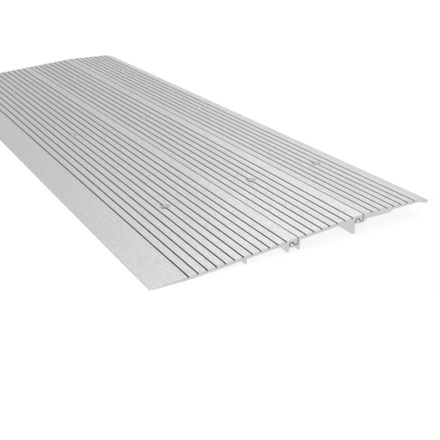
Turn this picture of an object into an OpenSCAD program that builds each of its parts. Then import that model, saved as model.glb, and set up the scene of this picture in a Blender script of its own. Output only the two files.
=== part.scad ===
// Threshold ramp of three hooked aluminium panels: approach, middle and landing.
// X runs along the doorway, Y runs up the ramp from the nose to the lip, Z is up and the floor is at Z = 0.
// Each panel is one extruded section, drawn in the Y and Z plane with the nose edge at zero.

/* [Ramp] */
// Length of the panels along the doorway
ramp_len = 914.4; // [600:0.1:1500]
// Run for each unit of rise
slope_run = 12; // [10:0.5:15]
// Thickness of the nose edge
nose_t = 0.2; // [0.1:0.1:1.2]
// Thickness of the tread plates
plate_t = 3.9; // [3.4:0.1:4.8]

/* [Panels] */
// Run of the approach panel, from the nose to the first seam
approach_run = 167.3; // [145:0.1:220]
// Run of the middle panel, from the first seam to the second
middle_run = 85.4; // [75:0.1:140]
// Run of the landing panel, from the second seam to the tip of its lip
landing_run = 94; // [88:0.1:150]

/* [Tread grooves] */
// Distance between grooves, along the tread
groove_pitch = 10.16; // [8:0.01:14]
// Width of a groove
groove_w = 1.4; // [0.8:0.1:2.4]
// Depth of a groove
groove_d = 1.3; // [0.8:0.1:2]
// Plain band from the nose to the first groove
nose_band = 40.6; // [25:0.1:55]
// Plain band from the first seam to the first groove of the middle panel
middle_band = 9.1; // [8:0.1:14]
// Plain band from the second seam to the first groove of the landing panel
landing_band = 11.3; // [9:0.1:16]

/* [Hooks] */
// Radius of the bead that each hook turns on
bead_r = 2.25; // [2:0.05:2.8]
// Clearance along the whole of the hook
hook_gap = 0.95; // [0.7:0.05:1.1]
// Depth of the bead's axis under the tread
bead_drop = 6.2; // [5.8:0.1:7]
// Distance from the bead's axis to the lobe's centre, along the run
lobe_reach = 5.05; // [4.8:0.05:6]
// Height of the lobe's centre above the bead's axis
lobe_rise = 1.35; // [1:0.05:2]
// Distance that each round of the hook laps past the flat or the round that it runs into
round_lap = 0.03; // [0.02:0.01:0.1]
// Thickness of the arm that carries the bead
arm_t = 1.75; // [1.6:0.05:2.6]
// Thickness of the wall behind the bead of the middle panel
wall_t = 2.3; // [2:0.1:4]

/* [Feet and legs] */
// Width of a sole on the floor
sole_w = 2; // [1.2:0.1:2.3]
// Angle of a flank from the floor
flank_angle = 45; // [38:1:60]
// Angle of the tall leg's flank from the floor
tall_flank_angle = 35; // [30:1:50]
// Distance of the small foot's upright face behind the screw row
foot_back = 14.3; // [13:0.1:20]

/* [Landing panel] */
// Thickness of the pad that rests on the sill
pad_t = 6.7; // [5.5:0.1:8]
// Run of the pad's flat underside, from the second seam
pad_run = 38.2; // [20:0.1:40]
// Width of the heel under the second seam
heel_w = 1.6; // [1:0.1:3]
// Angle of the slopes at both ends of the pad
pad_angle = 45; // [35:1:60]
// Run of the bevel on the lip
bevel_run = 13.5; // [6:0.1:15]
// Fall of the bevel on the lip
bevel_drop = 3.4; // [1:0.1:4]
// Width of the lip's foot
lip_foot_w = 5.5; // [3:0.1:7]
// Radius of the arch behind the lip's foot
arch_r = 16; // [8:0.5:24]

/* [Screw holes] */
// Diameter of a screw hole
hole_d = 6.6; // [5:0.1:7]
// Diameter of a countersink at the tread
head_d = 12; // [10:0.1:13]
// Angle of a countersink
head_angle = 90; // [82:1:100]
// Distance from each end of a panel to its outer holes
hole_end = 152.4; // [80:0.1:250]
// Number of holes along each panel
hole_count = 3; // [2:1:6]

/* [Hidden] */
$fn = 96;
metal = [0.80, 0.81, 0.82];

// Seams and overall run
seam_1 = approach_run;
seam_2 = seam_1+middle_run;
ramp_run = seam_2+landing_run;

// Slope, and heights of the tread, of the plate's middle and of its underside
slope_angle = atan(1/slope_run);
function tread_z(y) = nose_t+y/slope_run;
function middle_z(y) = tread_z(y)-plate_t/2;
function under_z(y) = tread_z(y)-plate_t;
landing_z = tread_z(seam_2);
rest_z = landing_z-pad_t;
web_z = landing_z-plate_t;

// Rounds of the hook: the socket clears the bead and the valley clears the lobe by the same gap
socket_r = bead_r+hook_gap;
hook_span = norm([lobe_reach, lobe_rise]);
hook_tilt = atan2(lobe_rise, lobe_reach);
lobe_r = hook_span-socket_r+round_lap;
valley_r = lobe_r+hook_gap;
hook_reach = lobe_reach+valley_r-round_lap;
arm_bottom = lobe_rise-valley_r-arm_t;

// Axis of each bead, the lobe's centre beside it, and the faces that flank its socket
function bead_at(seam) = [seam-hook_reach, tread_z(seam-hook_reach)-bead_drop];
function lobe_at(bead) = bead+[lobe_reach, lobe_rise];
function leg_face(bead) = bead[0]-socket_r+round_lap;
function high_edge(seam) = seam-hook_gap;
bead_1 = bead_at(seam_1);
bead_2 = bead_at(seam_2);

// Grooves stop one groove's width short of the hooks and of the bevel
slope_step = groove_pitch*cos(slope_angle);
function rows(from, to, step) = [for (y = [from : step : to-groove_w]) y];
approach_rows = rows(nose_band, bead_1[0]-socket_r, slope_step);
middle_rows = rows(seam_1+middle_band, bead_2[0]-socket_r, slope_step);
landing_rows = rows(seam_2+landing_band, ramp_run-bevel_run, groove_pitch);

// Screw rows follow the middle groove of a panel, and on the landing panel the next one, past the pad
function middle_row(list, shift) = list[floor((len(list)-1)/2)+shift];
approach_hole_y = middle_row(approach_rows, 0);
middle_hole_y = middle_row(middle_rows, 0);
landing_hole_y = middle_row(landing_rows, 1);

// Screw stations along X, evenly spaced between the outer two
hole_step = (ramp_len-2*hole_end)/(hole_count-1);
head_depth = (head_d-hole_d)/2/tan(head_angle/2);

// Cutters run past the surfaces that they open
cut_over = 2;

// Turns a section into a panel, centred over the floor
module extruded() {
    translate([0, -ramp_run/2, 0])
        rotate([90, 0, 90])
            linear_extrude(ramp_len, center = true)
                children();
}

// Leg under the slope, with an upright face towards the lip and a flank towards the nose
module leg(face, flank) {
    sole = face-sole_w;
    root = (sole*tan(flank)+plate_t/2-nose_t)/(tan(flank)+1/slope_run);
    polygon([
        [sole, 0],
        [face, 0],
        [face, middle_z(face)],
        [root, middle_z(root)]
    ]);
}

// High edge of a panel: the roof over the socket and the lobe that hangs behind the bead
module hook_roof(bead, edge) {
    lobe = lobe_at(bead);
    start = leg_face(bead)-sole_w/2;
    lap_z = bead[1]+socket_r*sin(hook_tilt);
    polygon([
        [start, bead[1]],
        bead,
        [bead[0], lap_z],
        [lobe[0], lap_z],
        lobe,
        [edge, lobe[1]],
        [edge, middle_z(edge)],
        [start, middle_z(start)]
    ]);
    translate(lobe)
        circle(lobe_r);
}

// Socket that clears the bead
module hook_socket(bead) {
    translate(bead)
        circle(socket_r);
}

// Low edge of a panel: the upturned bead and its arm, which dips under the lobe and laps into the body
module hook_bead(bead, end) {
    heel_z = arm_bottom+bead_r-round_lap;
    arm_z = bead[1]+arm_bottom;
    lap_z = bead[1]+bead_r*sin(hook_tilt);
    lobe = lobe_at(bead);
    translate(bead) {
        circle(bead_r);
        translate([0, heel_z])
            circle(bead_r);
        translate([-bead_r, heel_z])
            square([2*bead_r, -heel_z]);
    }
    difference() {
        polygon([
            [bead[0], arm_z],
            [end, arm_z],
            [end, lobe[1]],
            lobe,
            [lobe[0], lap_z],
            [bead[0], lap_z]
        ]);
        translate(lobe)
            circle(valley_r);
    }
}

// Square grooves, cut at right angles to the tread
module slope_grooves(list) {
    for (y = list)
        translate([y, tread_z(y)])
            rotate(slope_angle)
                groove();
}

module landing_grooves(list) {
    for (y = list)
        translate([y, landing_z])
            groove();
}

module groove() {
    translate([-groove_w/2, -groove_d])
        square([groove_w, groove_d+cut_over]);
}

// Row of plumb countersunk holes through a plate whose tread is at the given height
module screw_holes(run, tread) {
    for (i = [0 : hole_count-1])
        translate([-ramp_len/2+hole_end+i*hole_step, run-ramp_run/2, tread])
            screw_hole();
}

module screw_hole() {
    translate([0, 0, -plate_t-cut_over])
        cylinder(h = plate_t+2*cut_over, d = hole_d);
    translate([0, 0, -head_depth])
        cylinder(h = head_depth+cut_over, d1 = hole_d, d2 = head_d+2*cut_over*tan(head_angle/2));
}

// Approach panel: feathered nose on the floor, small foot, leg and hook
module approach_section() {
    flat_end = (plate_t-nose_t)*slope_run;
    edge = high_edge(seam_1);
    difference() {
        union() {
            polygon([
                [0, 0],
                [flat_end, 0],
                [edge, under_z(edge)],
                [edge, tread_z(edge)],
                [0, nose_t]
            ]);
            leg(approach_hole_y+foot_back, flank_angle);
            leg(leg_face(bead_1), flank_angle);
            hook_roof(bead_1, edge);
        }
        hook_socket(bead_1);
        slope_grooves(approach_rows);
    }
}

// Middle panel: bead over a foot, tall leg and hook
module middle_section() {
    edge = high_edge(seam_2);
    wall_face = seam_1+wall_t;
    sole = wall_face-sole_w;
    knee_z = bead_1[1]+arm_bottom+arm_t/2;
    difference() {
        union() {
            polygon([
                [seam_1, under_z(seam_1)],
                [edge, under_z(edge)],
                [edge, tread_z(edge)],
                [seam_1, tread_z(seam_1)]
            ]);
            hook_bead(bead_1, seam_1+wall_t/2);
            polygon([
                [sole, 0],
                [wall_face, 0],
                [wall_face, middle_z(wall_face)],
                [seam_1, middle_z(seam_1)],
                [seam_1, knee_z],
                [sole-knee_z/tan(flank_angle), knee_z]
            ]);
            leg(leg_face(bead_2), tall_flank_angle);
            hook_roof(bead_2, edge);
        }
        hook_socket(bead_2);
        slope_grooves(middle_rows);
    }
}

// Landing panel: bead, resting pad, web, and bevelled lip on a foot
module landing_section() {
    heel_z = bead_2[1]+arm_bottom;
    heel_end = seam_2+heel_w;
    pad_start = heel_end+(rest_z-heel_z)/tan(pad_angle);
    pad_end = seam_2+pad_run;
    web_start = pad_end+(web_z-rest_z)/tan(pad_angle);
    foot_start = ramp_run-lip_foot_w;
    arch_drop = web_z-rest_z;
    arch_start = foot_start-sqrt(arch_r*arch_r-pow(arch_r-arch_drop, 2));
    difference() {
        union() {
            polygon([
                [seam_2, heel_z],
                [heel_end, heel_z],
                [pad_start, rest_z],
                [ramp_run, rest_z],
                [ramp_run, landing_z-bevel_drop],
                [ramp_run-bevel_run, landing_z],
                [seam_2, landing_z]
            ]);
            hook_bead(bead_2, seam_2+heel_w/2);
        }
        polygon([[pad_end, rest_z], [arch_start, rest_z], [arch_start, web_z], [web_start, web_z]]);
        intersection() {
            translate([arch_start, web_z-arch_r])
                circle(arch_r);
            translate([arch_start-cut_over, rest_z-cut_over])
                square([foot_start-arch_start+2*cut_over, arch_drop+2*cut_over]);
        }
        landing_grooves(landing_rows);
    }
}

module approach_panel() {
    color(metal)
        difference() {
            extruded()
                approach_section();
            screw_holes(approach_hole_y, tread_z(approach_hole_y));
        }
}

module middle_panel() {
    color(metal)
        difference() {
            extruded()
                middle_section();
            screw_holes(middle_hole_y, tread_z(middle_hole_y));
        }
}

module landing_panel() {
    color(metal)
        difference() {
            extruded()
                landing_section();
            screw_holes(landing_hole_y, landing_z);
        }
}

approach_panel();
middle_panel();
landing_panel();
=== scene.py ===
import bpy, bmesh, math
from mathutils import Matrix, Vector


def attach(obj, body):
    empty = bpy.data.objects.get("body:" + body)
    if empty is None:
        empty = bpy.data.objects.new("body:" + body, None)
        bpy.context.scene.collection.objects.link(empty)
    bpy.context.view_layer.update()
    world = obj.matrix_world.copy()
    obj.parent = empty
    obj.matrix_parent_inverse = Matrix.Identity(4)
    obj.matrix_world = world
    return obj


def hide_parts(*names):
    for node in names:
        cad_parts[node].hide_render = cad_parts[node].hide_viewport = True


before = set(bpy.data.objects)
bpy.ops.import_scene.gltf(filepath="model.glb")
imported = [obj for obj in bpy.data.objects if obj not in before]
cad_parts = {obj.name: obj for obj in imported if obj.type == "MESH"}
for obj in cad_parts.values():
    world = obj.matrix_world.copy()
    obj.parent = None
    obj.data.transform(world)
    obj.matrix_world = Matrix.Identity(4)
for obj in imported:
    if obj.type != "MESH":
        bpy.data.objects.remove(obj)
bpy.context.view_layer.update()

scene = bpy.context.scene
scene.view_settings.view_transform = "Standard"
mm = 0.001
print("frame loaded:", ", ".join(sorted(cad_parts)))


def clearPick():
    bpy.ops.object.select_all(action="DESELECT")


def pickOnly(thing):
    clearPick()
    thing.select_set(True)
    bpy.context.view_layer.objects.active = thing


# the camera stands off the near cut end, a little above the ramp
photoView = {
    "place": (0.98167, -0.40722, 0.32904),
    "look": (-0.785354, 0.462329, -0.411669),
    "right": (0.506416, 0.862286, 0.002294),
    "lens": 58.71, "sensor": 36, "near": 0.01,
}


def placeCamera():
    look, right = (Vector(photoView[way]).normalized() for way in ("look", "right"))
    up = right.cross(look)
    clearPick()
    bpy.ops.object.camera_add(location=photoView["place"])
    camera = bpy.context.object
    camera.name = "PhotoCamera"
    camera.rotation_euler = Matrix((right, up, -look)).transposed().to_euler()
    camera.data.lens = photoView["lens"]
    camera.data.sensor_width = photoView["sensor"]
    camera.data.clip_start = photoView["near"]
    scene.camera = camera
    print("camera placed")


placeCamera()


# sizes that the three panels share, in millimetres, with y up the slope from the nose
ramp = {"length": 914.4, "run": 346.7, "lowSeam": 167.3, "highSeam": 252.7, "slope": 12,
    "noseThick": 0.2, "plateThick": 3.9, "burr": 0.08}
groove = {"pitch": 10.16, "wide": 1.7, "deep": 1.3, "mouth": 0.15, "floor": 0.25}
hook = {"beadR": 2.25, "gap": 0.95, "drop": 6.2, "lobeOut": 5.05, "lobeUp": 1.35, "armThick": 1.78,
    "steps": 30, "heelSteps": 14}
screw = {"hole": 6.6, "head": 12.0, "firstX": -304.8, "stepX": 304.8, "count": 3, "sides": 96,
    "above": 1.0, "below": 2.0}  # the drill runs on past the tread and the underside

hook["span"] = math.hypot(hook["lobeOut"], hook["lobeUp"])
hook["tilt"] = math.degrees(math.atan2(hook["lobeUp"], hook["lobeOut"]))
hook["socketR"] = hook["beadR"] + hook["gap"]
hook["valleyR"] = hook["span"] - hook["beadR"]
tilt = math.atan(1 / ramp["slope"])
slopeStep = groove["pitch"] * math.cos(tilt)


def treadAt(y):
    return ramp["noseThick"] + y / ramp["slope"]


def underAt(y):
    return treadAt(y) - ramp["plateThick"]


def levelY(y):  # from millimetres up the slope to the frame's metres
    return (y - ramp["run"] / 2) * mm


def hookAt(seam):  # the bead's axis and the lobe's centre beside a seam
    y = seam - hook["lobeOut"] - hook["valleyR"]
    z = treadAt(y) - hook["drop"]
    return (y, z), (y + hook["lobeOut"], z + hook["lobeUp"])


def armUnder(seam):  # height of the underside of a bead's arm
    return hookAt(seam)[1][1] - hook["valleyR"] - hook["armThick"]


# shader groups shared by the finishes of the metal

def newGroup(name, inputs, outputs):
    tree = bpy.data.node_groups.new(name, "ShaderNodeTree")
    for label in inputs:
        kind = "NodeSocketVector" if label in ("Coords", "Normal") else "NodeSocketFloat"
        tree.interface.new_socket(label, in_out="INPUT", socket_type=kind)
    for label in outputs:
        tree.interface.new_socket(label, in_out="OUTPUT", socket_type="NodeSocketFloat")
    return tree, tree.nodes.new("NodeGroupInput").outputs, tree.nodes.new("NodeGroupOutput").inputs


def addNode(tree, kind, **settings):
    node = tree.nodes.new(kind)
    for label, value in settings.items():
        setattr(node, label, value)
    return node


def feed(tree, value, socket):  # a link from a socket, or a plain number
    if isinstance(value, bpy.types.NodeSocket):
        tree.links.new(value, socket)
    else:
        socket.default_value = value


def mathNode(tree, operation, *values, clamp=False):
    node = addNode(tree, "ShaderNodeMath", operation=operation, use_clamp=clamp)
    for value, socket in zip(values, node.inputs):
        feed(tree, value, socket)
    return node.outputs[0]


def product(tree, *masks):
    total = masks[0]
    for mask in masks[1:]:
        total = mathNode(tree, "MULTIPLY", total, mask)
    return total


def largest(tree, *masks):
    total = masks[0]
    for mask in masks[1:]:
        total = mathNode(tree, "MAXIMUM", total, mask)
    return total


def remap(tree, value, low, high, outLow=0.0, outHigh=1.0, soft=True):
    node = addNode(tree, "ShaderNodeMapRange", interpolation_type="SMOOTHSTEP" if soft else "LINEAR")
    feed(tree, value, node.inputs["Value"])
    ends = {"From Min": low, "From Max": high, "To Min": outLow, "To Max": outHigh}
    for label, number in ends.items():
        feed(tree, number, node.inputs[label])
    return node.outputs["Result"]


def splitXyz(tree, vector):
    node = addNode(tree, "ShaderNodeSeparateXYZ")
    tree.links.new(vector, node.inputs[0])
    return node.outputs


def noise(tree, coords, stretch, detail, rough, place=(0, 0, 0)):
    mapping = addNode(tree, "ShaderNodeMapping", vector_type="POINT")
    mapping.inputs["Scale"].default_value = stretch
    mapping.inputs["Location"].default_value = place
    feed(tree, coords, mapping.inputs["Vector"])
    texture = addNode(tree, "ShaderNodeTexNoise", noise_dimensions="3D")
    texture.inputs["Scale"].default_value = 1.0
    texture.inputs["Detail"].default_value = detail
    texture.inputs["Roughness"].default_value = rough
    tree.links.new(mapping.outputs["Vector"], texture.inputs["Vector"])
    return texture.outputs["Fac"]


def makeMixedNoise(name, label, look):  # two noises, with their swing about the middle set by Contrast
    tree, box, out = newGroup(name, ("Coords", "Contrast"), (label, "Height"))
    first = product(tree, noise(tree, box["Coords"], **look["first"]), look["share"])
    second = product(tree, noise(tree, box["Coords"], **look["second"]), 1 - look["share"])
    both = mathNode(tree, "ADD", first, second)
    swing = product(tree, mathNode(tree, "SUBTRACT", both, 0.5), box["Contrast"])
    tree.links.new(mathNode(tree, "ADD", swing, 0.5), out[label])
    tree.links.new(both, out["Height"])
    return tree


# long fine lines that the die leaves along the extrusion
dieLines = makeMixedNoise("DieLines", "Line", {"share": 0.65,
    "first": {"stretch": (3, 1500, 1500), "detail": 3, "rough": 0.6},
    "second": {"stretch": (1.2, 260, 260), "detail": 2, "rough": 0.5, "place": (3, 7, 1)}})

# small streaky sparkle of the etched skin
satinGrain = makeMixedNoise("SatinGrain", "Grain", {"share": 0.6,
    "first": {"stretch": (150, 620, 620), "detail": 3, "rough": 0.65},
    "second": {"stretch": (900, 2600, 2600), "detail": 2, "rough": 0.5, "place": (5, 2, 9)}})


# wide faint patches of oxide
oxide = {"low": 0.3, "high": 0.7,
    "cloud": {"stretch": (7, 16, 16), "detail": 4, "rough": 0.55, "place": (2, 4, 6)}}


def makeOxidePatches():
    tree, box, out = newGroup("OxidePatches", ("Coords",), ("Patch",))
    cloud = noise(tree, box["Coords"], **oxide["cloud"])
    tree.links.new(remap(tree, cloud, oxide["low"], oxide["high"]), out["Patch"])
    return tree


def depthUnderTread(tree, box):
    place = splitXyz(tree, box["Coords"])
    tread = mathNode(tree, "MULTIPLY_ADD", place["Y"], box["Rise"], box["Level"])
    return place["Y"], mathNode(tree, "SUBTRACT", tread, place["Z"])


# painted shade with some dust, from just under the tread to the bottom of a groove, between the first
# groove and the last
shadeAndDust = {"top": 0.02 * mm, "full": 0.15 * mm, "fade": 1.5 * mm, "gone": 1.8 * mm, "lead": 2.0 * mm,
    "speck": {"stretch": (90, 700, 700), "detail": 4, "rough": 0.6, "place": (1, 8, 3)},
    "speckLow": 0.3, "speckHigh": 0.7, "thin": 0.8}


def makeGrooveShadeAndDust():
    tree, box, out = newGroup("GrooveShadeAndDust", ("Coords", "Rise", "Level", "First", "Until"), ("ShadeAndDust",))
    y, depth = depthUnderTread(tree, box)
    low = remap(tree, depth, shadeAndDust["top"], shadeAndDust["full"])
    shut = remap(tree, depth, shadeAndDust["fade"], shadeAndDust["gone"], 1.0, 0.0)
    after = mathNode(tree, "GREATER_THAN", y, mathNode(tree, "SUBTRACT", box["First"], shadeAndDust["lead"]))
    before = mathNode(tree, "LESS_THAN", y, box["Until"])
    speck = noise(tree, box["Coords"], **shadeAndDust["speck"])
    speck = remap(tree, speck, shadeAndDust["speckLow"], shadeAndDust["speckHigh"], shadeAndDust["thin"], 1.0)
    tree.links.new(product(tree, low, shut, after, before, speck), out["ShadeAndDust"])
    return tree


# painted shade between two hooked panels: at the mouth of the seam, and beside and over the bead
seamShadeLook = {"mouthBack": 0.5 * mm, "mouthHalf": 1.2 * mm, "top": 0.03 * mm, "full": 0.25 * mm,
    "fade": 1.4 * mm, "gone": 2.0 * mm, "cupBack": 1.1 * mm, "cupHalf": 2.6 * mm,
    "cupTop": 1.6 * mm, "cupFull": 2.2 * mm}


def makeSeamShade():
    tree, box, out = newGroup("SeamShade", ("Coords", "Rise", "Level", "Seam", "Bead"), ("Shade",))
    y, depth = depthUnderTread(tree, box)
    centre = mathNode(tree, "SUBTRACT", box["Seam"], seamShadeLook["mouthBack"])
    mouth = product(tree, mathNode(tree, "COMPARE", y, centre, seamShadeLook["mouthHalf"]),
        remap(tree, depth, seamShadeLook["top"], seamShadeLook["full"]),
        remap(tree, depth, seamShadeLook["fade"], seamShadeLook["gone"], 1.0, 0.0))
    centre = mathNode(tree, "SUBTRACT", box["Bead"], seamShadeLook["cupBack"])
    cup = product(tree, mathNode(tree, "COMPARE", y, centre, seamShadeLook["cupHalf"]),
        remap(tree, depth, seamShadeLook["cupTop"], seamShadeLook["cupFull"]))
    tree.links.new(mathNode(tree, "MAXIMUM", mouth, cup), out["Shade"])
    return tree


# corners where the surface turns, lighter partly as wear and partly as a painted highlight, and a painted
# highlight along the lip side of each groove's mouth
wearAndHighlightLook = {"steep": 0.35, "turned": 0.6, "nearFlat": 0.955, "flat": 0.985,
    "patchy": {"stretch": (45, 160, 160), "detail": 3, "rough": 0.6, "place": (9, 1, 4)},
    "patchLow": 0.3, "patchHigh": 0.65, "least": 0.35,
    "lineFull": 0.7 * mm, "lineGone": 1.8 * mm, "lineSteep": 0.3, "lineTop": 0.6}


def makeEdgeWearAndHighlight():
    inputs = ("Normal", "Coords", "First", "Step", "Until")
    tree, box, out = newGroup("EdgeWearAndHighlight", inputs, ("CornerWearAndHighlight", "Line"))
    upward = splitXyz(tree, box["Normal"])["Z"]
    y = splitXyz(tree, box["Coords"])["Y"]
    patchy = noise(tree, box["Coords"], **wearAndHighlightLook["patchy"])
    patchy = remap(tree, patchy, wearAndHighlightLook["patchLow"], wearAndHighlightLook["patchHigh"], wearAndHighlightLook["least"], 1.0)
    turned = remap(tree, upward, wearAndHighlightLook["steep"], wearAndHighlightLook["turned"])
    bent = remap(tree, upward, wearAndHighlightLook["nearFlat"], wearAndHighlightLook["flat"], 1.0, 0.0)
    tree.links.new(product(tree, turned, bent, patchy), out["CornerWearAndHighlight"])
    # the painted highlight runs from each groove's middle to just past its lip-side mouth
    past = mathNode(tree, "SUBTRACT", y, box["First"])
    near = mathNode(tree, "MODULO", past, box["Step"])
    line = remap(tree, near, wearAndHighlightLook["lineFull"], wearAndHighlightLook["lineGone"], 1.0, 0.0)
    top = remap(tree, upward, wearAndHighlightLook["lineSteep"], wearAndHighlightLook["lineTop"])
    after = mathNode(tree, "GREATER_THAN", past, 0.0)
    before = mathNode(tree, "LESS_THAN", y, box["Until"])
    tree.links.new(product(tree, line, top, after, before, patchy), out["Line"])
    return tree


# sparse hairline scuffs from wheels, which cross the grooves
scuffs = {"hair": {"stretch": (1700, 14, 14), "detail": 2, "rough": 0.5, "place": (4, 4, 2)},
    "hairLow": 0.66, "hairHigh": 0.72,
    "where": {"stretch": (11, 9, 9), "detail": 2, "rough": 0.5, "place": (6, 3, 8)},
    "whereLow": 0.5, "whereHigh": 0.66}


def makeWheelScuffs():
    tree, box, out = newGroup("WheelScuffs", ("Coords",), ("Scuff",))
    hair = noise(tree, box["Coords"], **scuffs["hair"])
    where = noise(tree, box["Coords"], **scuffs["where"])
    tree.links.new(product(tree, remap(tree, hair, scuffs["hairLow"], scuffs["hairHigh"]),
        remap(tree, where, scuffs["whereLow"], scuffs["whereHigh"])), out["Scuff"])
    return tree


def makeCutterRings():  # rings that a countersink turns
    tree, box, out = newGroup("CutterRings", ("Coords", "Pitch"), ("Ring",))
    turns = mathNode(tree, "DIVIDE", splitXyz(tree, box["Coords"])["Z"], box["Pitch"])
    tree.links.new(mathNode(tree, "PINGPONG", turns, 1.0), out["Ring"])
    return tree


# curved strokes of the saw at the ends, about the blade's axle
saw = {"axle": (0, -0.26, 0.11), "overSection": (0, 1, 1), "waverTurns": 1.6,
    "waver": {"stretch": (400, 400, 400), "detail": 2, "rough": 0.5}}


def makeSawStrokes():
    tree, box, out = newGroup("SawStrokes", ("Coords", "Pitch"), ("Stroke",))
    flatten = addNode(tree, "ShaderNodeVectorMath", operation="MULTIPLY")
    flatten.inputs[1].default_value = saw["overSection"]
    apart = addNode(tree, "ShaderNodeVectorMath", operation="DISTANCE")
    apart.inputs[1].default_value = saw["axle"]
    tree.links.new(box["Coords"], flatten.inputs[0])
    tree.links.new(flatten.outputs["Vector"], apart.inputs[0])
    waver = product(tree, noise(tree, box["Coords"], **saw["waver"]), saw["waverTurns"])
    turns = mathNode(tree, "ADD", mathNode(tree, "DIVIDE", apart.outputs["Value"], box["Pitch"]), waver)
    tree.links.new(mathNode(tree, "PINGPONG", turns, 1.0), out["Stroke"])
    return tree


oxidePatches = makeOxidePatches()
grooveShadeAndDust = makeGrooveShadeAndDust()
seamShade = makeSeamShade()
edgeWearAndHighlight = makeEdgeWearAndHighlight()
wheelScuffs = makeWheelScuffs()
cutterRings = makeCutterRings()
sawStrokes = makeSawStrokes()
print("shader groups made")


def useGroup(tree, group, **values):
    node = addNode(tree, "ShaderNodeGroup", node_tree=group)
    for label, value in values.items():
        feed(tree, value, node.inputs[label])
    return node.outputs


def tint(tree, amount, colour, under):  # lays a colour over what is below by a mask
    node = addNode(tree, "ShaderNodeMix", data_type="RGBA", blend_type="MIX")
    for value, socket in ((amount, node.inputs[0]), (under, node.inputs[6]), (colour, node.inputs[7])):
        feed(tree, value, socket)
    return node.outputs[2]


def startMetal(name):
    metal = bpy.data.materials.new(name)
    metal.use_nodes = True
    tree = metal.node_tree
    shader = tree.nodes["Principled BSDF"]
    shader.inputs["Metallic"].default_value = 1.0
    return metal, tree, shader.inputs, addNode(tree, "ShaderNodeTexCoord").outputs


def roughFrom(tree, tone, finish):  # paler metal is smoother
    tones, roughs = (finish["toneLow"], finish["toneHigh"]), (finish["roughHigh"], finish["roughLow"])
    return remap(tree, tone, *tones, *roughs, soft=False)


def bumpFrom(tree, height, finish, shader):
    bump = addNode(tree, "ShaderNodeBump")
    bump.inputs["Strength"].default_value = finish["bumpStrength"]
    bump.inputs["Distance"].default_value = finish["bumpDeep"]
    tree.links.new(height, bump.inputs["Height"])
    tree.links.new(bump.outputs["Normal"], shader["Normal"])


# the drawn skin of a panel
# the near-black colour paints shade in grooves and seams, with some dust; the bevel colour paints shade
# on the lip's bevel; the palest colour paints wear and a highlight on edges
millFinish = {
    "dark": (0.66, 0.662, 0.664, 1), "light": (0.86, 0.86, 0.86, 1), "wearAndHighlight": (0.97, 0.97, 0.97, 1),
    "bevelShade": (0.6, 0.6, 0.602, 1), "shadeAndDust": (0.07, 0.0695, 0.069, 1),
    "lineContrast": 1.6, "grainContrast": 9.0, "lineShare": 0.45, "grainShare": 0.4, "patchShare": 0.15,
    "scuffTint": 0.25, "bevelShadeTint": 0.7, "wearAndHighlightTint": 0.85, "shadeAndDustTint": 0.92,
    "bevelLow": 0.14, "bevelHigh": 0.22, "bevelSteep": 0.9, "bevelTop": 0.95,
    "toneLow": 0.2, "toneHigh": 0.8, "roughLow": 0.35, "roughHigh": 0.47,
    "wearAndHighlightRough": -0.05, "shadeAndDustRough": 0.25, "scuffRough": -0.06,
    "lineHeight": 0.6, "grainHeight": 0.4, "bumpDeep": 0.03 * mm, "bumpStrength": 0.5,
}


def makeMillMetal(name, rise, level, first, step, until):
    metal, tree, shader, where = startMetal(name)
    look, here = millFinish, where["Object"]
    lines = useGroup(tree, dieLines, Coords=here, Contrast=look["lineContrast"])
    grain = useGroup(tree, satinGrain, Coords=here, Contrast=look["grainContrast"])
    patch = useGroup(tree, oxidePatches, Coords=here)["Patch"]
    tread = {"Coords": here, "Rise": rise, "Level": level}
    # painted shade with some dust down in the grooves
    shadeAndDustMask = useGroup(tree, grooveShadeAndDust, **tread, First=first, Until=until)["ShadeAndDust"]
    # painted shade at each seam, in the same near-black colour
    for seam in (ramp["lowSeam"], ramp["highSeam"]):
        bead = levelY(hookAt(seam)[0][0])
        between = useGroup(tree, seamShade, **tread, Seam=levelY(seam), Bead=bead)["Shade"]
        shadeAndDustMask = mathNode(tree, "MAXIMUM", shadeAndDustMask, between)
    # worn corners, partly a painted highlight, and a painted highlight at each groove's mouth
    wearAndHighlight = useGroup(tree, edgeWearAndHighlight,
        Coords=here, Normal=where["Normal"], First=first, Step=step, Until=until)
    wearAndHighlightMask = mathNode(tree, "MAXIMUM", wearAndHighlight["CornerWearAndHighlight"], wearAndHighlight["Line"])
    scuff = useGroup(tree, wheelScuffs, Coords=here)["Scuff"]
    facing = splitXyz(tree, where["Normal"])
    bevel = product(tree, remap(tree, facing["Y"], look["bevelLow"], look["bevelHigh"]),
        remap(tree, facing["Z"], look["bevelSteep"], look["bevelTop"]))  # painted shade on the lip's bevel, picked by the way its face turns

    tone = product(tree, grain["Grain"], look["grainShare"])
    tone = mathNode(tree, "MULTIPLY_ADD", lines["Line"], look["lineShare"], tone)
    tone = mathNode(tree, "MULTIPLY_ADD", patch, look["patchShare"], tone, clamp=True)
    colour = tint(tree, tone, look["light"], look["dark"])
    # painted shade, painted highlights and wheel scuffs are laid over the grain here
    for mask, amount, paint in ((bevel, "bevelShadeTint", "bevelShade"), (scuff, "scuffTint", "wearAndHighlight"),
            (wearAndHighlightMask, "wearAndHighlightTint", "wearAndHighlight"), (shadeAndDustMask, "shadeAndDustTint", "shadeAndDust")):
        colour = tint(tree, product(tree, mask, look[amount]), look[paint], colour)
    tree.links.new(colour, shader["Base Color"])

    rough = roughFrom(tree, tone, look)
    for mask, amount in ((wearAndHighlightMask, "wearAndHighlightRough"), (shadeAndDustMask, "shadeAndDustRough"), (scuff, "scuffRough")):
        rough = mathNode(tree, "MULTIPLY_ADD", mask, look[amount], rough)
    tree.links.new(rough, shader["Roughness"])
    height = product(tree, grain["Height"], look["grainHeight"])
    height = mathNode(tree, "MULTIPLY_ADD", lines["Height"], look["lineHeight"], height)
    bumpFrom(tree, height, look, shader)
    return metal


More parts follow.
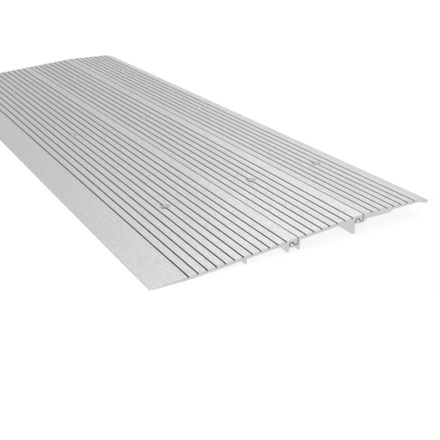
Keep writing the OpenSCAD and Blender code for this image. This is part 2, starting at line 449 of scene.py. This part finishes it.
# cut ends, with the blade's strokes
sawnFinish = {"dark": (0.56, 0.56, 0.563, 1), "light": (0.72, 0.72, 0.723, 1), "pitch": 0.45 * mm,
    "strokeShare": 0.5, "grainShare": 0.5, "grainContrast": 1.0, "toneLow": 0.2, "toneHigh": 0.8,
    "roughLow": 0.38, "roughHigh": 0.55, "bumpDeep": 0.03 * mm, "bumpStrength": 0.5}


def makeSawnMetal(name):
    metal, tree, shader, where = startMetal(name)
    look, here = sawnFinish, where["Object"]
    stroke = useGroup(tree, sawStrokes, Coords=here, Pitch=look["pitch"])["Stroke"]
    grain = useGroup(tree, satinGrain, Coords=here, Contrast=look["grainContrast"])["Grain"]
    grain = product(tree, grain, look["grainShare"])
    tone = mathNode(tree, "MULTIPLY_ADD", stroke, look["strokeShare"], grain, clamp=True)
    tree.links.new(tint(tree, tone, look["light"], look["dark"]), shader["Base Color"])
    tree.links.new(roughFrom(tree, tone, look), shader["Roughness"])
    bumpFrom(tree, stroke, look, shader)
    return metal


# turned walls of the screw holes, with near-black painted shade down the bore
drilledFinish = {"dark": (0.54, 0.54, 0.542, 1), "light": (0.76, 0.76, 0.763, 1),
    "bore": (0.06, 0.0595, 0.059, 1), "boreSteep": 0.2, "coneSteep": 0.5, "pitch": 0.16 * mm,
    "ringShare": 0.6, "grainShare": 0.4, "grainContrast": 0.8, "toneLow": 0.2, "toneHigh": 0.8,
    "roughLow": 0.52, "roughHigh": 0.66, "bumpDeep": 0.02 * mm, "bumpStrength": 0.4}


def makeDrilledMetal(name):
    metal, tree, shader, where = startMetal(name)
    look, here = drilledFinish, where["Object"]
    ring = useGroup(tree, cutterRings, Coords=here, Pitch=look["pitch"])["Ring"]
    grain = useGroup(tree, satinGrain, Coords=here, Contrast=look["grainContrast"])["Grain"]
    grain = product(tree, grain, look["grainShare"])
    tone = mathNode(tree, "MULTIPLY_ADD", ring, look["ringShare"], grain, clamp=True)
    upward = splitXyz(tree, where["Normal"])["Z"]
    # painted shade on the steep walls down the bore
    boreShadeMask = remap(tree, upward, look["boreSteep"], look["coneSteep"], 1.0, 0.0)
    colour = tint(tree, tone, look["light"], look["dark"])
    tree.links.new(tint(tree, boreShadeMask, look["bore"], colour), shader["Base Color"])
    tree.links.new(roughFrom(tree, tone, look), shader["Roughness"])
    bumpFrom(tree, ring, look, shader)
    return metal


sawnMetal = makeSawnMetal("SawnAluminium")
drilledMetal = makeDrilledMetal("DrilledAluminium")
print("metals made")


# the outline of a cut end is walked with a pen: one point, pushed out into lines and arcs
pen = {"y": 0.0, "z": 0.0, "rounds": [], "plane": -(ramp["length"] / 2 - ramp["burr"]) * mm}
drawing = {"weld": 0.001 * mm, "reach": 0.01 * mm, "roundSteps": 5, "endFacing": 0.99,
    "sawnFacing": 0.5, "topFacing": 0.9, "smoothAngle": 35, "flatWeight": 100, "paintedMarksPast": 3}


def startOutline(name, y, z):
    clearPick()
    bpy.ops.mesh.primitive_plane_add(size=mm, location=(0, 0, 0))
    panel = bpy.context.object
    panel.name = panel.data.name = name
    bpy.ops.object.mode_set(mode="EDIT")
    bpy.ops.mesh.select_mode(type="VERT")
    bpy.ops.mesh.select_all(action="SELECT")
    bpy.ops.mesh.merge(type="CENTER")  # the plane draws in to a single point
    bpy.ops.transform.translate(value=(pen["plane"], levelY(y), z * mm))
    pen.update(y=y, z=z, rounds=[])
    return panel


def lineTo(y, z, cut=0):  # cut is how far the corner is rounded back
    way = (0, (y - pen["y"]) * mm, (z - pen["z"]) * mm)
    bpy.ops.mesh.extrude_region_move(TRANSFORM_OT_translate={"value": way})
    pen.update(y=y, z=z)
    if cut:
        pen["rounds"].append((y, z, cut))


def arcAbout(y, z, turn, steps=hook["steps"]):  # degrees, anticlockwise seen from the near end
    centre, angle = (pen["plane"], levelY(y), z * mm), math.radians(turn)
    bpy.ops.mesh.spin(steps=steps, angle=-angle, center=centre, axis=(1, 0, 0))
    c, s, dy, dz = math.cos(angle), math.sin(angle), pen["y"] - y, pen["z"] - z
    pen.update(y=y + dy * c - dz * s, z=z + dy * s + dz * c)


def grooveAt(y, z, lean):  # walked from the lip's side to the nose's side
    c, s = math.cos(lean), math.sin(lean)
    for side, down, cut in ((1, 0, "mouth"), (1, 1, "floor"), (-1, 1, "floor"), (-1, 0, "mouth")):
        across, deep = side * groove["wide"] / 2, down * groove["deep"]
        lineTo(y + across * c + deep * s, z + across * s - deep * c, groove[cut])


def legAt(face, flank, sizes):  # down the flank and along the sole
    foot, steep = face - sizes["soleWide"], math.tan(math.radians(flank))
    y = (foot * steep + ramp["plateThick"] - ramp["noseThick"]) / (steep + 1 / ramp["slope"])
    lineTo(y, underAt(y), sizes["rootRound"])
    lineTo(foot, 0, sizes["soleRound"])
    lineTo(face, 0, sizes["soleRound"])


def socketAndLobe(seam):  # over the next panel's bead and round the lobe to the panel's high edge
    bead, lobe = hookAt(seam)
    lineTo(bead[0] - hook["socketR"], bead[1])
    arcAbout(*bead, -(180 - hook["tilt"]))
    arcAbout(*lobe, 180 - hook["tilt"])


def valleyAndBead(seam):  # under the last panel's lobe, over the bead and down to its heel
    bead, lobe = hookAt(seam)
    lineTo(seam, lobe[1])
    arcAbout(*lobe, -(180 - hook["tilt"]))
    arcAbout(*bead, 180 - hook["tilt"])
    heel = armUnder(seam) + hook["beadR"]
    lineTo(bead[0] - hook["beadR"], heel)
    arcAbout(bead[0], heel, 90, hook["heelSteps"])


def pickPoints(panel, places):
    mesh = bmesh.from_edit_mesh(panel.data)
    for vert in mesh.verts:
        vert.select_set(any(abs(vert.co.y - levelY(y)) < drawing["reach"]
            and abs(vert.co.z - z * mm) < drawing["reach"] for y, z in places))
    mesh.select_flush_mode()
    bmesh.update_edit_mesh(panel.data)


def pickFaces(thing, wanted):
    bpy.ops.mesh.select_mode(type="FACE")
    bpy.ops.mesh.select_all(action="DESELECT")
    mesh = bmesh.from_edit_mesh(thing.data)
    for face in mesh.faces:
        face.select_set(wanted(face.normal))
    bmesh.update_edit_mesh(thing.data)


def drawPanel(panel):  # fills the outline, rounds its corners and draws it out to length
    bpy.ops.mesh.select_all(action="SELECT")
    bpy.ops.mesh.remove_doubles(threshold=drawing["weld"])
    bpy.ops.mesh.edge_face_add()
    for cut in sorted({c for y, z, c in pen["rounds"]}):
        pickPoints(panel, [(y, z) for y, z, c in pen["rounds"] if c == cut])
        bpy.ops.mesh.bevel(offset=cut * mm, offset_type="OFFSET",
            segments=drawing["roundSteps"], affect="VERTICES")
    bpy.ops.mesh.select_all(action="SELECT")
    way = ((ramp["length"] - 2 * ramp["burr"]) * mm, 0, 0)
    bpy.ops.mesh.extrude_region_move(TRANSFORM_OT_translate={"value": way})
    bpy.ops.mesh.select_all(action="SELECT")
    bpy.ops.mesh.normals_make_consistent(inside=False)
    pickFaces(panel, lambda normal: abs(normal.x) > drawing["endFacing"])
    burr = ramp["burr"] * mm
    bpy.ops.mesh.inset(thickness=burr, depth=burr)  # the saw's burr is broken all round
    bpy.ops.mesh.select_mode(type="VERT")
    bpy.ops.object.mode_set(mode="OBJECT")


def drillHoles(panel, y, tread, metal):  # countersunk, plumb, at the screw stations
    clearPick()
    bore, head, over = screw["hole"] / 2, screw["head"] / 2, screw["above"]
    low, neck = tread - ramp["plateThick"] - screw["below"], tread - (head - bore)
    bpy.ops.mesh.primitive_cylinder_add(vertices=screw["sides"], radius=bore * mm,
        depth=(neck - low) * mm, location=(0, levelY(y), (neck + low) / 2 * mm))
    drill = bpy.context.object
    bpy.ops.object.transform_apply(location=True, rotation=True, scale=True)
    drill.data.materials.append(metal)
    bpy.ops.object.mode_set(mode="EDIT")
    pickFaces(drill, lambda normal: normal.z > drawing["topFacing"])
    rise, wide = (head - bore + over) * mm, (head + over) / bore
    bpy.ops.mesh.extrude_region_move(TRANSFORM_OT_translate={"value": (0, 0, rise)})
    centre = (0, levelY(y), (tread + over) * mm)
    bpy.ops.transform.resize(value=(wide, wide, 1), center_override=centre)
    bpy.ops.mesh.select_all(action="SELECT")
    bpy.ops.transform.translate(value=(screw["firstX"] * mm, 0, 0))
    along = {"value": (screw["stepX"] * mm, 0, 0)}
    for station in range(1, screw["count"]):
        bpy.ops.mesh.duplicate_move(TRANSFORM_OT_translate=along)
    bpy.ops.object.mode_set(mode="OBJECT")
    pickOnly(panel)
    cut = panel.modifiers.new("ScrewHoles", "BOOLEAN")
    cut.operation, cut.solver, cut.object = "DIFFERENCE", "EXACT", drill
    cut.material_mode = "TRANSFER"  # the walls of a hole keep the drill's metal
    bpy.ops.object.modifier_apply(modifier=cut.name)
    bpy.data.objects.remove(drill)


def dressPanel(panel, sizes, rows, step, rise, level):  # finishes, clean shading, place in the frame
    first, until = levelY(rows[0]), levelY(rows[-1] + drawing["paintedMarksPast"])
    skin = makeMillMetal("MillAluminium" + panel.name, rise, level * mm, first, step * mm, until)
    panel.data.materials.clear()
    for metal in (skin, sawnMetal):
        panel.data.materials.append(metal)
    for face in panel.data.polygons:
        face.material_index = 1 if abs(face.normal.x) > drawing["sawnFacing"] else 0
    drillHoles(panel, sizes["holesAt"], sizes["holesTop"], drilledMetal)
    pickOnly(panel)
    bpy.ops.object.shade_smooth_by_angle(angle=math.radians(drawing["smoothAngle"]))
    even = panel.modifiers.new("EvenFlats", "WEIGHTED_NORMAL")
    even.mode, even.weight, even.keep_sharp = "FACE_AREA", drawing["flatWeight"], True
    bpy.ops.object.modifier_apply(modifier=even.name)
    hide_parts(sizes["node"])
    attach(panel, sizes["body"])
    print(panel.name, "made:", len(panel.data.polygons), "faces")


# the long panel that starts at the floor with a feathered nose
approach = {"node": "approach_panel", "body": "approach", "seam": ramp["lowSeam"],
    "firstGroove": 40.6, "grooves": 12, "holeGroove": 5, "footBack": 14.3, "flank": 45,
    "soleWide": 2.0, "soleRound": 0.5, "rootRound": 0.8, "edgeRound": 0.3}


def makeApproachPanel():
    rows = [approach["firstGroove"] + k * slopeStep for k in range(approach["grooves"])]
    approach["holesAt"] = rows[approach["holeGroove"]]
    approach["holesTop"] = treadAt(approach["holesAt"])
    panel = startOutline("ApproachPanel", 0, 0)
    lineTo((ramp["plateThick"] - ramp["noseThick"]) * ramp["slope"], 0)
    foot = approach["holesAt"] + approach["footBack"]
    legAt(foot, approach["flank"], approach)
    lineTo(foot, underAt(foot), approach["rootRound"])
    bead = hookAt(approach["seam"])[0]
    legAt(bead[0] - hook["socketR"], approach["flank"], approach)
    socketAndLobe(approach["seam"])
    edge = approach["seam"] - hook["gap"]
    lineTo(edge, treadAt(edge), approach["edgeRound"])
    for y in reversed(rows):
        grooveAt(y, treadAt(y), tilt)
    lineTo(0, ramp["noseThick"])
    lineTo(0, 0)
    drawPanel(panel)
    dressPanel(panel, approach, rows, slopeStep, 1 / ramp["slope"], treadAt(ramp["run"] / 2))


makeApproachPanel()


# the short sloping panel between the two hooks
middle = {"node": "middle_panel", "body": "middle", "seam": ramp["lowSeam"],
    "nextSeam": ramp["highSeam"], "firstGroove": 9.1, "grooves": 7, "holeGroove": 3, "wall": 2.3,
    "flank": 45, "tallFlank": 35, "soleWide": 2.0, "soleRound": 0.5, "rootRound": 0.8, "edgeRound": 0.3}


def makeMiddlePanel():
    rows = [middle["seam"] + middle["firstGroove"] + k * slopeStep for k in range(middle["grooves"])]
    middle["holesAt"] = rows[middle["holeGroove"]]
    middle["holesTop"] = treadAt(middle["holesAt"])
    arm, wall = armUnder(middle["seam"]), middle["seam"] + middle["wall"]
    knee = wall - middle["soleWide"] - arm / math.tan(math.radians(middle["flank"]))
    panel = startOutline("MiddlePanel", hookAt(middle["seam"])[0][0], arm)
    lineTo(knee, arm, middle["soleRound"])
    lineTo(wall - middle["soleWide"], 0, middle["soleRound"])
    lineTo(wall, 0, middle["soleRound"])
    lineTo(wall, underAt(wall), middle["rootRound"])
    leg = hookAt(middle["nextSeam"])[0][0] - hook["socketR"]
    legAt(leg, middle["tallFlank"], middle)
    socketAndLobe(middle["nextSeam"])
    edge = middle["nextSeam"] - hook["gap"]
    lineTo(edge, treadAt(edge), middle["edgeRound"])
    for y in reversed(rows):
        grooveAt(y, treadAt(y), tilt)
    lineTo(middle["seam"], treadAt(middle["seam"]), middle["edgeRound"])
    valleyAndBead(middle["seam"])
    drawPanel(panel)
    dressPanel(panel, middle, rows, slopeStep, 1 / ramp["slope"], treadAt(ramp["run"] / 2))


makeMiddlePanel()


# the level panel that lies on the sill and ends in a bevelled lip
landing = {"node": "landing_panel", "body": "landing", "seam": ramp["highSeam"],
    "firstGroove": 11.3, "grooves": 7, "holeGroove": 4, "padThick": 6.7, "padEnd": 38.2,
    "heelWide": 1.6, "bevelRun": 13.5, "bevelDrop": 3.4, "lipFoot": 5.5, "archR": 16.0,
    "archSteps": 16, "archRound": 0.3, "padRound": 0.6, "lipRound": 0.8, "edgeRound": 0.3}


def makeLandingPanel():
    top = treadAt(landing["seam"])
    start = landing["seam"] + landing["firstGroove"]
    rows = [start + k * groove["pitch"] for k in range(landing["grooves"])]
    landing["holesAt"], landing["holesTop"] = rows[landing["holeGroove"]], top
    arm, rest = armUnder(landing["seam"]), top - landing["padThick"]
    web = top - ramp["plateThick"]
    heelEnd, padEnd = landing["seam"] + landing["heelWide"], landing["seam"] + landing["padEnd"]
    lipStart = ramp["run"] - landing["lipFoot"]
    sweep = math.acos((landing["archR"] - (web - rest)) / landing["archR"])
    archStart = lipStart - landing["archR"] * math.sin(sweep)
    panel = startOutline("LandingPanel", hookAt(landing["seam"])[0][0], arm)
    lineTo(heelEnd, arm, landing["padRound"])
    lineTo(heelEnd + rest - arm, rest, landing["padRound"])
    lineTo(padEnd, rest, landing["padRound"])
    lineTo(padEnd + web - rest, web, landing["padRound"])
    lineTo(archStart, web)
    arcAbout(archStart, web - landing["archR"], -math.degrees(sweep), landing["archSteps"])
    pen["rounds"].append((lipStart, rest, landing["archRound"]))
    lineTo(ramp["run"], rest, landing["lipRound"])
    lineTo(ramp["run"], top - landing["bevelDrop"], landing["lipRound"])
    lineTo(ramp["run"] - landing["bevelRun"], top, landing["lipRound"])
    for y in reversed(rows):
        grooveAt(y, top, 0)
    lineTo(landing["seam"], top, landing["edgeRound"])
    valleyAndBead(landing["seam"])
    drawPanel(panel)
    dressPanel(panel, landing, rows, groove["pitch"], 0, top)


makeLandingPanel()


# floor, world and lamps
studio = {
    "floor": {"size": 60.0, "drop": 0.3 * mm, "tone": 0.25, "clear": 0.79, "rough": 0.9, "shine": 0.1,
        "endsIn": 0.36, "endsOut": 0.42, "sidesIn": 0.145, "sidesOut": 0.165,
        "roofReach": 0.03, "roofSamples": 8, "roofDark": 0.35, "roofBare": 0.7},
    "sky": {"horizon": 1.0, "wall": 0.44, "ceiling": 0.93, "wallFoot": 0.06, "wallLow": 0.22,
        "wallHigh": 0.28, "ceilingLow": 0.75},
    "overhead": {"place": (0.2, 0.2, 2.6), "aim": (0.2, 0.2, 0.0),
        "wide": 3.0, "long": 3.0, "watts": 7.0},
    "back": {"place": (-0.9, 1.7, 1.7), "aim": (0.2, 0.0, 0.0),
        "wide": 2.6, "long": 2.0, "watts": 4.8},
    "side": {"place": (-1.6, 1.4, 1.9), "aim": (0.2, 0.0, 0.0),
        "wide": 2.6, "long": 2.0, "watts": 2.1},
}


def bareFloor(tree):  # clear to the eye outside the ramp and below it; under the ramp an occlusion mask keeps it dark, which paints shade there and behind the screw holes
    ground = studio["floor"]
    place = splitXyz(tree, addNode(tree, "ShaderNodeTexCoord").outputs["Object"])
    ends = remap(tree, mathNode(tree, "ABSOLUTE", place["X"]), ground["endsIn"], ground["endsOut"])
    sides = remap(tree, mathNode(tree, "ABSOLUTE", place["Y"]), ground["sidesIn"], ground["sidesOut"])
    # ambient occlusion from the ramp's roof holds back the floor's white: painted shade
    roof = addNode(tree, "ShaderNodeAmbientOcclusion", samples=ground["roofSamples"])
    roof.inputs["Distance"].default_value = ground["roofReach"]
    roofless = remap(tree, roof.outputs["AO"], ground["roofDark"], ground["roofBare"])
    below = addNode(tree, "ShaderNodeNewGeometry").outputs["Backfacing"]
    path = addNode(tree, "ShaderNodeLightPath").outputs
    other = mathNode(tree, "SUBTRACT", 1.0, path["Is Camera Ray"])
    return largest(tree, ends, sides, roofless, below, other)


def makeFloor():
    ground = studio["floor"]
    clearPick()
    bpy.ops.mesh.primitive_plane_add(size=ground["size"], location=(0, 0, -ground["drop"]))
    floor = bpy.context.object
    floor.name = "Floor"
    bpy.ops.object.transform_apply(location=True, rotation=True, scale=True)
    paint = bpy.data.materials.new("FloorPaint")
    paint.use_nodes = True
    tree = paint.node_tree
    shader = tree.nodes["Principled BSDF"]
    shader.inputs["Base Color"].default_value = (ground["tone"],) * 3 + (1,)
    shader.inputs["Roughness"].default_value = ground["rough"]
    shader.inputs["Specular IOR Level"].default_value = ground["shine"]
    clear = addNode(tree, "ShaderNodeBsdfTransparent")  # shows white, or a panel that swings below
    tree.links.new(product(tree, bareFloor(tree), ground["clear"]), clear.inputs["Color"])
    total = addNode(tree, "ShaderNodeAddShader")
    tree.links.new(shader.outputs[0], total.inputs[0])
    tree.links.new(clear.outputs[0], total.inputs[1])
    tree.links.new(total.outputs[0], tree.nodes["Material Output"].inputs["Surface"])
    floor.data.materials.append(paint)


def makeSky():  # pale at the horizon, greyer walls, pale ceiling
    world = bpy.data.worlds.new("Studio")
    scene.world = world
    world.use_nodes = True
    tree = world.node_tree
    sky = tree.nodes["Background"]
    sky.inputs["Color"].default_value = (1, 1, 1, 1)
    room = studio["sky"]
    height = splitXyz(tree, addNode(tree, "ShaderNodeTexCoord").outputs["Generated"])["Z"]
    low = remap(tree, height, room["wallFoot"], room["wallLow"], room["horizon"], room["wall"])
    high = remap(tree, height, room["wallHigh"], room["ceilingLow"], room["wall"], room["ceiling"])
    path = addNode(tree, "ShaderNodeLightPath").outputs
    above = mathNode(tree, "GREATER_THAN", height, 0.0)  # below, the white is seen but lights nothing
    seen = largest(tree, path["Is Camera Ray"], path["Is Glossy Ray"], path["Is Transmission Ray"], above)
    tree.links.new(product(tree, largest(tree, low, high), seen), sky.inputs["Strength"])


def makeLamp(name):
    lamp = studio[name]
    clearPick()
    bpy.ops.object.light_add(type="AREA", location=lamp["place"])
    light = bpy.context.object
    light.name = name.capitalize() + "Light"
    light.data.shape, light.data.size, light.data.size_y = "RECTANGLE", lamp["wide"], lamp["long"]
    light.data.energy = lamp["watts"]
    way = Vector(lamp["aim"]) - Vector(lamp["place"])
    light.rotation_euler = way.to_track_quat("-Z", "Y").to_euler()


makeFloor()
makeSky()
for lampName in ("overhead", "back", "side"):
    makeLamp(lampName)
print("studio lit")
